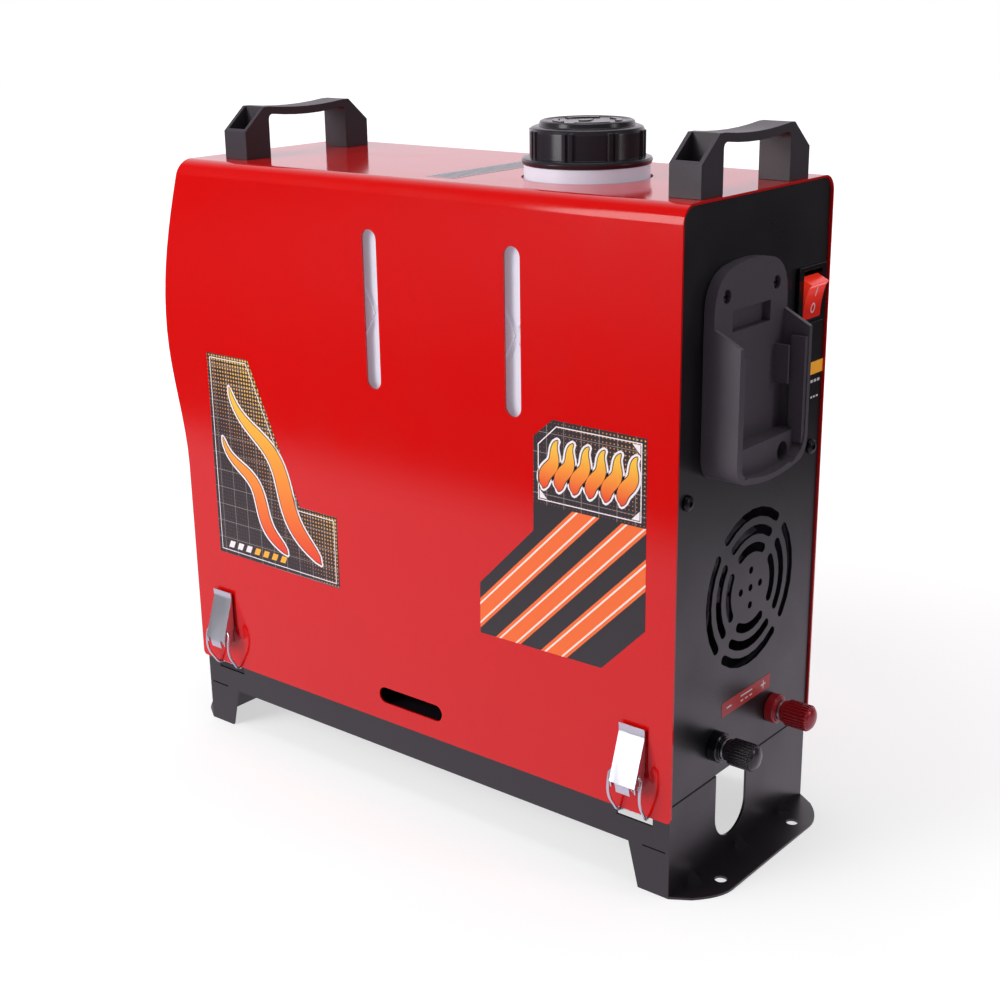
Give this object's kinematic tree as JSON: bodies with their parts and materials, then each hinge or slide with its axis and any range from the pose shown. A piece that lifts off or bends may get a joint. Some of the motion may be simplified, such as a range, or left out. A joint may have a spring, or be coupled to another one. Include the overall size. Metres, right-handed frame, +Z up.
{
  "type": "portable diesel air heater",
  "caption": "Portable diesel air heater: sheet-metal cover on a footed base, built-in tank with screw cap, handles, latches, terminals, fan grille and outlet.",
  "frame": {"origin": "middle of the bounding box in X and Y, on the floor the feet stand on", "axes": "+X along the housing towards the end with switch, cradle and terminals; +Z up; -Y is the long side seen in the picture"},
  "size_m": [0.4278, 0.1728, 0.4095],
  "materials": {
    "red_paint": "gloss powder coat, red",
    "dark_paint": "satin powder coat, charcoal",
    "black_paint": "satin powder coat, black",
    "black_plastic": "moulded, fine grain",
    "gloss_black_plastic": "moulded, polished",
    "zinc_plate": "bright zinc plate",
    "bare_steel": "bare sheet steel",
    "blackened_steel": "blackened screws",
    "cast_aluminium": "as cast",
    "tank_plastic": "blow-moulded natural plastic",
    "red_plastic": "moulded, dark red",
    "rocker_plastic": "translucent red",
    "rubber": "moulded rubber"
  },
  "bodies": {
    "housing": {"base_chassis": "dark_paint", "blower_motor": "bare_steel", "burner": "cast_aluminium", "control_end_panel": "black_paint", "control_screw_back": "blackened_steel", "control_screw_front": "blackened_steel", "control_unit": "black_plastic", "controller_cradle": "black_plastic", "cover_shell": "red_paint", "cradle_screw_1": "blackened_steel", "cradle_screw_2": "blackened_steel", "delivery_line": "rubber", "exhaust_stub": "bare_steel", "fuel_filter": "tank_plastic", "fuel_hose": "rubber", "fuel_pump": "bare_steel", "fuel_tank": "tank_plastic", "handle_bolt_left_back": "blackened_steel", "handle_bolt_left_front": "blackened_steel", "handle_bolt_right_back": "blackened_steel", "handle_bolt_right_front": "blackened_steel", "handle_left": "black_plastic", "handle_right": "black_plastic", "heat_exchanger": "cast_aluminium", "heater_bracket": "bare_steel", "heater_casing": "black_plastic", "intake_stub": "bare_steel", "latch_bracket_back_left": "zinc_plate", "latch_bracket_back_right": "zinc_plate", "latch_bracket_front_left": "zinc_plate", "latch_bracket_front_right": "zinc_plate", "outlet_collar": "black_plastic", "outlet_end_panel": "black_paint", "outlet_screw_back": "blackened_steel", "outlet_screw_front": "blackened_steel", "post_insulator_black": "gloss_black_plastic", "post_insulator_red": "red_plastic", "post_stud_black": "zinc_plate", "post_stud_red": "zinc_plate", "pump_holder": "rubber", "switch_bezel": "black_plastic", "tank_shelf": "bare_steel"},
    "rotor": {"motor_shaft": "bare_steel", "fan_wheel": "black_plastic"},
    "louvre": {"outlet_louvre": "black_plastic"},
    "rocker": {"switch_rocker": "rocker_plastic"},
    "cap_lift": {"cap_seal": "rubber"},
    "cap": {"fuel_cap": "gloss_black_plastic"},
    "washer_black": {"post_washer_black": "zinc_plate"},
    "knob_black": {"post_knob_black": "gloss_black_plastic"},
    "washer_red": {"post_washer_red": "zinc_plate"},
    "knob_red": {"post_knob_red": "red_plastic"},
    "lever_front_left": {"latch_lever_front_left": "zinc_plate"},
    "bail_front_left": {"latch_bail_front_left": "zinc_plate"},
    "lever_front_right": {"latch_lever_front_right": "zinc_plate"},
    "bail_front_right": {"latch_bail_front_right": "zinc_plate"},
    "lever_back_left": {"latch_lever_back_left": "zinc_plate"},
    "bail_back_left": {"latch_bail_back_left": "zinc_plate"},
    "lever_back_right": {"latch_lever_back_right": "zinc_plate"},
    "bail_back_right": {"latch_bail_back_right": "zinc_plate"}
  },
  "joints": [
    {"name": "fan_spin", "type": "hinge", "parent": "housing", "child": "rotor", "pos_m": [0.1481, 0.003, 0.16], "axis": [1, 0, 0], "continuous": true},
    {"name": "louvre_turn", "type": "hinge", "parent": "housing", "child": "louvre", "pos_m": [-0.2079, 0.003, 0.16], "axis": [1, 0, 0], "continuous": true},
    {"name": "rocker_tilt", "type": "hinge", "parent": "housing", "child": "rocker", "pos_m": [0.1808, 0.0542, 0.316], "axis": [0, -1, 0], "range_deg": [0, 24]},
    {"name": "cap_rise", "type": "slide", "parent": "housing", "child": "cap_lift", "axis": [0, 0, 1], "range_m": [0, 0.01]},
    {"name": "cap_turn", "type": "hinge", "parent": "cap_lift", "child": "cap", "pos_m": [0.0801, -0.007, 0.395], "axis": [0, 0, 1], "range_deg": [0, 720]},
    {"name": "washer_slide_black", "type": "slide", "parent": "housing", "child": "washer_black", "axis": [1, 0, 0], "range_m": [0, 0.0045]},
    {"name": "knob_turn_black", "type": "hinge", "parent": "washer_black", "child": "knob_black", "pos_m": [0.2031, -0.0305, 0.0767], "axis": [1, 0, 0], "range_deg": [0, 1080]},
    {"name": "washer_slide_red", "type": "slide", "parent": "housing", "child": "washer_red", "axis": [1, 0, 0], "range_m": [0, 0.0045]},
    {"name": "knob_turn_red", "type": "hinge", "parent": "washer_red", "child": "knob_red", "pos_m": [0.2031, 0.031, 0.0767], "axis": [1, 0, 0], "range_deg": [0, 1080]},
    {"name": "lever_swing_front_left", "type": "hinge", "parent": "housing", "child": "lever_front_left", "pos_m": [-0.1659, -0.0824, 0.0669], "axis": [1, 0, 0], "range_deg": [0, 85]},
    {"name": "bail_swing_front_left", "type": "hinge", "parent": "lever_front_left", "child": "bail_front_left", "pos_m": [-0.1659, -0.0826, 0.0735], "axis": [1, 0, 0], "range_deg": [-102, 0]},
    {"name": "lever_swing_front_right", "type": "hinge", "parent": "housing", "child": "lever_front_right", "pos_m": [0.1621, -0.0824, 0.0669], "axis": [1, 0, 0], "range_deg": [0, 85]},
    {"name": "bail_swing_front_right", "type": "hinge", "parent": "lever_front_right", "child": "bail_front_right", "pos_m": [0.1621, -0.0826, 0.0735], "axis": [1, 0, 0], "range_deg": [-102, 0]},
    {"name": "lever_swing_back_left", "type": "hinge", "parent": "housing", "child": "lever_back_left", "pos_m": [-0.1659, 0.0824, 0.0669], "axis": [-1, 0, 0], "range_deg": [0, 85]},
    {"name": "bail_swing_back_left", "type": "hinge", "parent": "lever_back_left", "child": "bail_back_left", "pos_m": [-0.1659, 0.0826, 0.0735], "axis": [-1, 0, 0], "range_deg": [-102, 0]},
    {"name": "lever_swing_back_right", "type": "hinge", "parent": "housing", "child": "lever_back_right", "pos_m": [0.1621, 0.0824, 0.0669], "axis": [-1, 0, 0], "range_deg": [0, 85]},
    {"name": "bail_swing_back_right", "type": "hinge", "parent": "lever_back_right", "child": "bail_back_right", "pos_m": [0.1621, 0.0826, 0.0735], "axis": [-1, 0, 0], "range_deg": [-102, 0]}
  ],
  "couplings": [
    {"joint": "cap_turn", "follows": "cap_rise", "rad_per_m": 1256.6},
    {"joint": "knob_turn_black", "follows": "washer_slide_black", "rad_per_m": 4188.8},
    {"joint": "knob_turn_red", "follows": "washer_slide_red", "rad_per_m": 4188.8},
    {"joint": "bail_swing_front_left", "follows": "lever_swing_front_left", "ratio": -1.2},
    {"joint": "bail_swing_front_right", "follows": "lever_swing_front_right", "ratio": -1.2},
    {"joint": "bail_swing_back_left", "follows": "lever_swing_back_left", "ratio": -1.2},
    {"joint": "bail_swing_back_right", "follows": "lever_swing_back_right", "ratio": -1.2}
  ]
}
